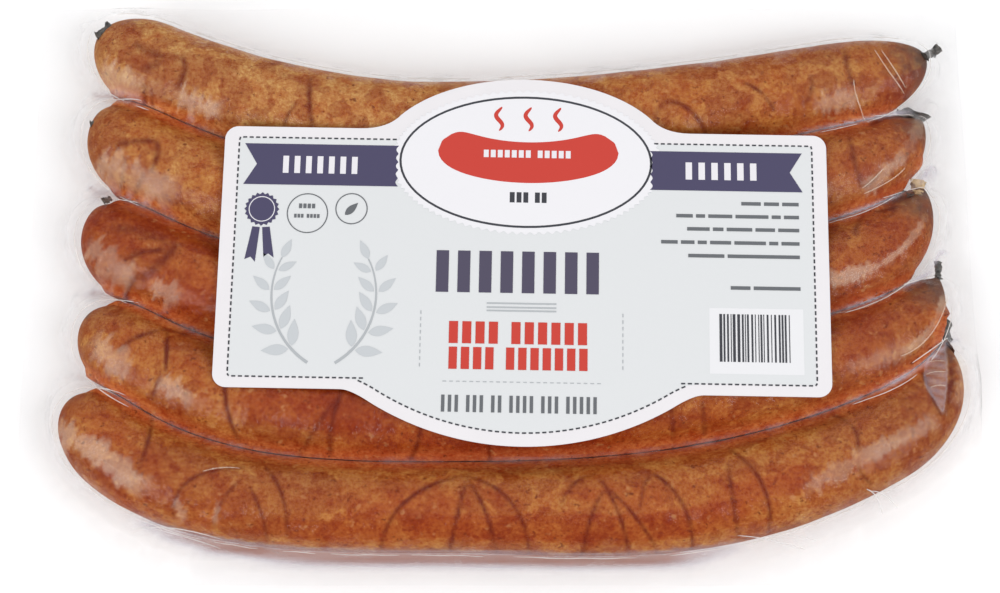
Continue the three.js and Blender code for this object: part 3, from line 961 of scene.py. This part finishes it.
def dashes(path, length, gap, width):
    """Dashes along a line of points, each a length, with a gap after it."""
    path = np.asarray(path, float)
    along = np.concatenate([[0], np.cumsum(np.linalg.norm(np.diff(path, axis=0), axis=1))])
    made = []
    for start in np.arange(0, along[-1] - length, length + gap):
        ends = [np.array([np.interp(s, along, path[:, k]) for k in (0, 1)]) for s in (start, start + length)]
        way = (ends[1] - ends[0]) / np.linalg.norm(ends[1] - ends[0])
        side = np.array([-way[1], way[0]]) * width / 2
        made.append([tuple(p) for p in (ends[0] - side, ends[1] - side, ends[1] + side, ends[0] + side)])
    return made


def stroke(points, width):
    """A line of one width, or of the widths given for its points."""
    points = np.asarray(points, float)
    way = np.gradient(points, axis=0)
    way /= np.linalg.norm(way, axis=1)[:, None]
    side = np.stack([-way[:, 1], way[:, 0]], 1) * np.reshape(np.broadcast_to(width, len(points)), (-1, 1)) / 2
    return [tuple(p) for p in np.concatenate([points - side, (points + side)[::-1]])]


def blocks(left, bottom, right, height, words, gap=0.28):
    """Bars in place of lettering: words of so many blocks, set between two edges."""
    unit = (right - left) / (sum(words) + 0.7 * (len(words) - 1))
    made = []
    x = left
    for word in words:
        for _ in range(word):
            made.append(bar(x, bottom, unit * (1 - gap), height))
            x += unit
        x += unit * 0.7
    return made


def bars_to_right(right, bottom, height, words):
    """A line of small print, as one bar a word, that ends at its right edge."""
    made = []
    x = right
    for length in reversed(words):
        made.append(bar(x - length, bottom, length, height))
        x -= length + 1.1
    return made


def leaf(x, y, angle, length):
    """A pointed leaf that grows from a point."""
    t = np.linspace(0, 1, 11)
    half = 0.2 * length * np.sin(math.pi * t ** 0.8)
    c, s = math.cos(math.radians(angle)), math.sin(math.radians(angle))
    spine = np.concatenate([np.stack([t * length, -half], 1), np.stack([t * length, half], 1)[-2:0:-1]])
    return [(x + u * c - v * s, y + u * s + v * c) for u, v in spine]


def sprig(x, y, start, turn, length, leaves):
    """A bent stem and the leaves along it."""
    steps = 24
    heading = np.radians(start + turn * np.linspace(0, 1, steps))
    stem = np.cumsum(np.stack([np.cos(heading), np.sin(heading)], 1), 0) * length / steps + (x, y)
    grown = []
    for k in range(leaves):
        spot = int(4 + 20 * k / leaves)
        size = 9 - 3 * k / leaves
        for side in (-1, 1):
            angle = heading[spot] + side * 0.85
            root = stem[spot] + 1.1 * np.array([math.cos(angle), math.sin(angle)])
            grown.append(leaf(*root, math.degrees(angle), size))
    grown.append(leaf(*stem[-1], math.degrees(heading[-1]), 7))
    return stroke(stem, np.linspace(1, 0.4, steps)), grown


def ribbon(inner, outer, top, bottom, notch):
    """A pennant with a swallow tail outside and a perforated edge towards the badge."""
    steps = np.linspace(top, bottom, 33)
    scallop = 0.9 * np.abs(np.sin(np.linspace(0, 5 * math.pi, 33)))
    edge = [(inner + math.copysign(1, inner - outer) * -depth, y) for y, depth in zip(steps, scallop)]
    return edge + [(outer, bottom), (outer + notch, (top + bottom) / 2), (outer, top)]


def make_label():
    """The card and its print, with bars in place of lettering and plain shapes in place of pictures."""
    card = plain_finish("label_card", "#dddadc", "#dfdcde", 11, 0.45)
    label = flat_piece("label_card", [label_outline()], LABEL_TOP - LABEL_THICKNESS, LABEL_THICKNESS, card)
    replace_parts(label, "label")

    corner = [(-51.7, -41), (-96.6, -41), (-96.6, 40.9), (-43.5, 40.9)]
    lower = [(x, y) for x, y in label_outline(4.4) if y < -41.5 and abs(x) < 54]
    mirrored = [(-x, y) for x, y in corner]
    frame_dashes = sum([dashes(line, *FRAME_DASH) for line in (corner[::-1], mirrored[::-1], lower)], [])
    rules = ([(-33.7, -18), (-33.7, -38)], [(33, -18), (33, -38)], [(-26, -41.5), (26, -41.5)])
    rule_dashes = sum([dashes(line, *RULE_DASH) for line in rules], [])
    script = [-16.5 + 1.5 * math.sin(k) for k in (0, 2, 4)]
    rosette = wavy_oval(-87.9, 15.8, 5.5, 5.5, 0.35, 20, 40)
    badge = wavy_oval(0.5, 33.8, 45.2, 25, 0.45, 96, 768)
    beads = [arc(x, y, 0.62, 0.62, 0, 330, 11) for x, y in arc(0.5, 33.8, 45, 24.8, 0, 360, 96)[:-1]]
    bow = np.linspace(-1, 1, 41)
    sausage = stroke(
        np.stack([1 + 29 * np.sin(1.15 * bow) / math.sin(1.15), 46 - 12.5 * np.cos(1.15 * bow)], 1),
        13.5 * (1 - np.abs(bow) ** 7) ** 0.6 + 0.8,
    )
    rise = np.linspace(0, 1, 25)
    wisp = 1.3 * np.sin(math.pi * rise) ** 0.5 + 0.2
    sway = 1.1 * np.sin(2.3 * math.pi * rise)
    steam = [stroke(np.stack([x + sway, 44.6 + 8.5 * rise], 1), wisp) for x in (-9, 1, 11)]
    stem_left, leaves_left = sprig(-69, -37, 150, -85, 42, 5)
    stem_right, leaves_right = sprig(-63, -37, 30, 85, 42, 5)
    small_print = [
        bars_to_right(91.8, y, 1.2, words)
        for y, words in (
            (19.8, (6.5, 5, 5.5)), (15.3, (5.5, 3, 8, 11, 3, 5)), (10.8, (7.5, 3.5, 8.5, 6.5, 7)),
            (6.2, (5.5, 4.5, 3, 7, 10.5, 3, 6)), (1.6, (12, 24)), (-9.2, (6.5, 15.5)),
        )
    ]
    bars = []
    x = 64.8
    while x < 88.4:
        width = random.choice((0.3, 0.3, 0.6, 0.9))
        bars.append(bar(x, -33.5, width, 16))
        x += width + random.choice((0.4, 0.6, 0.8))
    tails = [
        [(-90.8, 9.7), (-92.9, -1.6), (-90.9, -0.7), (-89.4, -2.4), (-88.3, 9.5)],
        [(-87.5, 9.5), (-86.6, -0.7), (-85.1, 0.5), (-83.2, -0.9), (-85, 9.7)],
    ]
    panel = [bar(-96.3, -40.8, 192.6, 81.5), [(-60, -40.8)] + lower + [(60, -40.8)]]
    seals = band(-72.6, 14.6, 6.9, 6.9, 0.35) + band(-57.9, 16.4, 5.4, 5.4, 0.35)
    seal_leaf = [leaf(-60, 14.2, 45, 6)]
    seal_words = blocks(-77, 13, -68.2, 1.3, (3, 4)) + blocks(-75.5, 16.3, -69.7, 1.6, (4,))
    red_words = blocks(-24.3, -28.8, 22.6, 7.4, (4, 6), 0.32) + blocks(-24.2, -37.4, 22.7, 7.4, (4, 7), 0.32)
    weight = blocks(-26.3, -51.6, 25.6, 5.6, (3, 3, 2, 4, 3, 5), 0.5)
    ribbons = [ribbon(-42.6, -94.6, 38.7, 24.4, 4.3), ribbon(42, 93.2, 38.3, 24.7, -4.2)]
    ribbon_words = blocks(-81.5, 28.5, -54.5, 6, (7,), 0.5) + blocks(54, 28.5, 80, 6, (6,), 0.5)
    sausage_words = blocks(-14, 35.2, 16, 2.6, (7, 5), 0.3)
    oval_line, oval_words = band(0.2, 33.8, 42.6, 23.1, 0.75), blocks(-5, 19.5, 8, 3.6, (3, 2))
    prints = [
        ("panel_tint", "#d3d5d6", 0, panel),
        ("badge_shade", "#c3c6c9", 1, beads),
        ("badge_white", "#e1e0e3", 2, [badge]),
        ("barcode_field", "#dedee0", 1, [bar(61.5, -37.5, 31, 22)]),
        ("ink_black", "#2b2d35", 3, frame_dashes + oval_line + oval_words + bars),
        ("ink_purple", "#3d3859", 3, ribbons + [rosette] + tails),
        ("ink_aubergine", "#433d54", 3, blocks(-29, -11.6, 28, 14.2, (8,), 0.42)),
        ("ink_red", "#bf3020", 3, [sausage] + steam + red_words),
        ("ink_grey", "#5d6064", 3, sum(small_print, []) + weight + seals + seal_words + seal_leaf),
        (
            "ink_pale_grey", "#a9adb0", 3,
            [stem_left, stem_right] + rule_dashes + [stroke([(-12, y), (11, y)], 0.5) for y in script],
        ),
        ("ink_leaf_grey", "#bcc0c3", 3, leaves_left + leaves_right),
        ("ink_reversed", "#dddbdf", 4, ribbon_words + sausage_words + band(-87.9, 15.8, 4.4, 4.4, 0.3)),
    ]
    for name, colour, level, outlines in prints:
        finish = plain_finish(name, colour, colour, 8, 0.45)
        flat_piece(name, outlines, LABEL_TOP + INK_STEP * level, INK, finish)


# Stage

def softbox(name, place, target, width, depth, radiance):
    """A soft lamp of a given brightness, facing a point. Places are in metres."""
    data = bpy.data.lights.new(name, "AREA")
    data.shape = "RECTANGLE"
    data.size, data.size_y = width, depth
    data.energy = radiance * math.pi * width * depth
    lamp = bpy.data.objects.new(name, data)
    lamp.location = place
    lamp.rotation_euler = (Vector(target) - Vector(place)).to_track_quat("-Z", "Y").to_euler()
    bpy.context.scene.collection.objects.link(lamp)


def make_stage():
    deselect()
    bpy.ops.mesh.primitive_grid_add(x_subdivisions=8, y_subdivisions=8, size=12, location=(0, 0, -0.0003))
    floor = bpy.context.object
    floor.name = "floor"
    made, add = material("white_table")
    surface = add("BsdfPrincipled", {"Base Color": linear("#f7f7f7"), "Roughness": 0.6})
    add("OutputMaterial", {"Surface": surface})
    floor.data.materials.append(made)

    world = bpy.data.worlds.new("studio")
    bpy.context.scene.world = world
    world.use_nodes = True
    world.node_tree.nodes["Background"].inputs["Color"].default_value = (0.36, 0.36, 0.37, 1)

    softbox("overhead", (0, 1.78, 1.6), (0, 1.78, 0), 5, 5.2, 0.66)
    softbox("front_left", (-1.05, -0.88, 1.05), (0, 0, 0), 1, 0.9, 3.8)
    softbox("front_right", (1.12, -0.6, 1.14), (0, 0, 0), 1.1, 0.9, 3.4)

    camera = bpy.data.cameras.new("camera")
    camera.lens, camera.sensor_width = 60, 36
    eye = bpy.data.objects.new("camera", camera)
    eye.location = (0, -0.1297, 0.5684)
    eye.rotation_euler = (math.radians(12.6), 0, 0)
    bpy.context.scene.collection.objects.link(eye)
    bpy.context.scene.camera = eye
    bpy.context.scene.view_settings.view_transform = "Standard"


make_links()
make_tied_ends()
make_film()
make_label()
make_stage()
